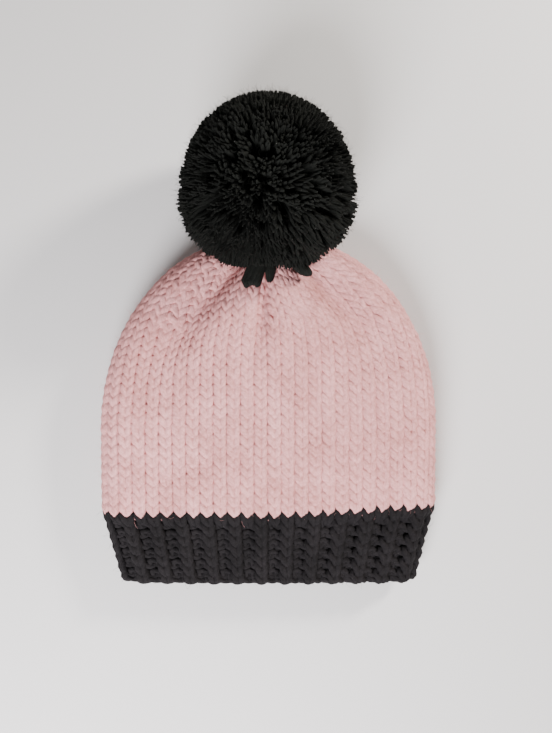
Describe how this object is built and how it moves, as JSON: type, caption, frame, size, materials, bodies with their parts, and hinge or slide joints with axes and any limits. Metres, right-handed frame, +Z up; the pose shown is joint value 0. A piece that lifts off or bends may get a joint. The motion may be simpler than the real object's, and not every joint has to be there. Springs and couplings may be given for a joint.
{
  "type": "knitted bobble hat",
  "caption": "Chunky hand-knitted bobble hat in pale pink stockinette with a black ribbed band and a big black yarn pompom, lying flat.",
  "frame": {"origin": "on the floor, under the middle of the whole hat as it lies flat", "axes": "+X to the hat's right side fold seen from above, +Y from the mouth to the pompom, +Z up from the floor"},
  "size_m": [0.19, 0.2624, 0.0836],
  "materials": {
    "pink_yarn": "fuzzy",
    "black_yarn": "fuzzy",
    "pompom_yarn": "fuzzy"
  },
  "bodies": {
    "root": {"ribbed_band": "black_yarn", "knitted_body": "pink_yarn", "pompom": "pompom_yarn", "pompom_tie": "black_yarn"}
  },
  "joints": []
}
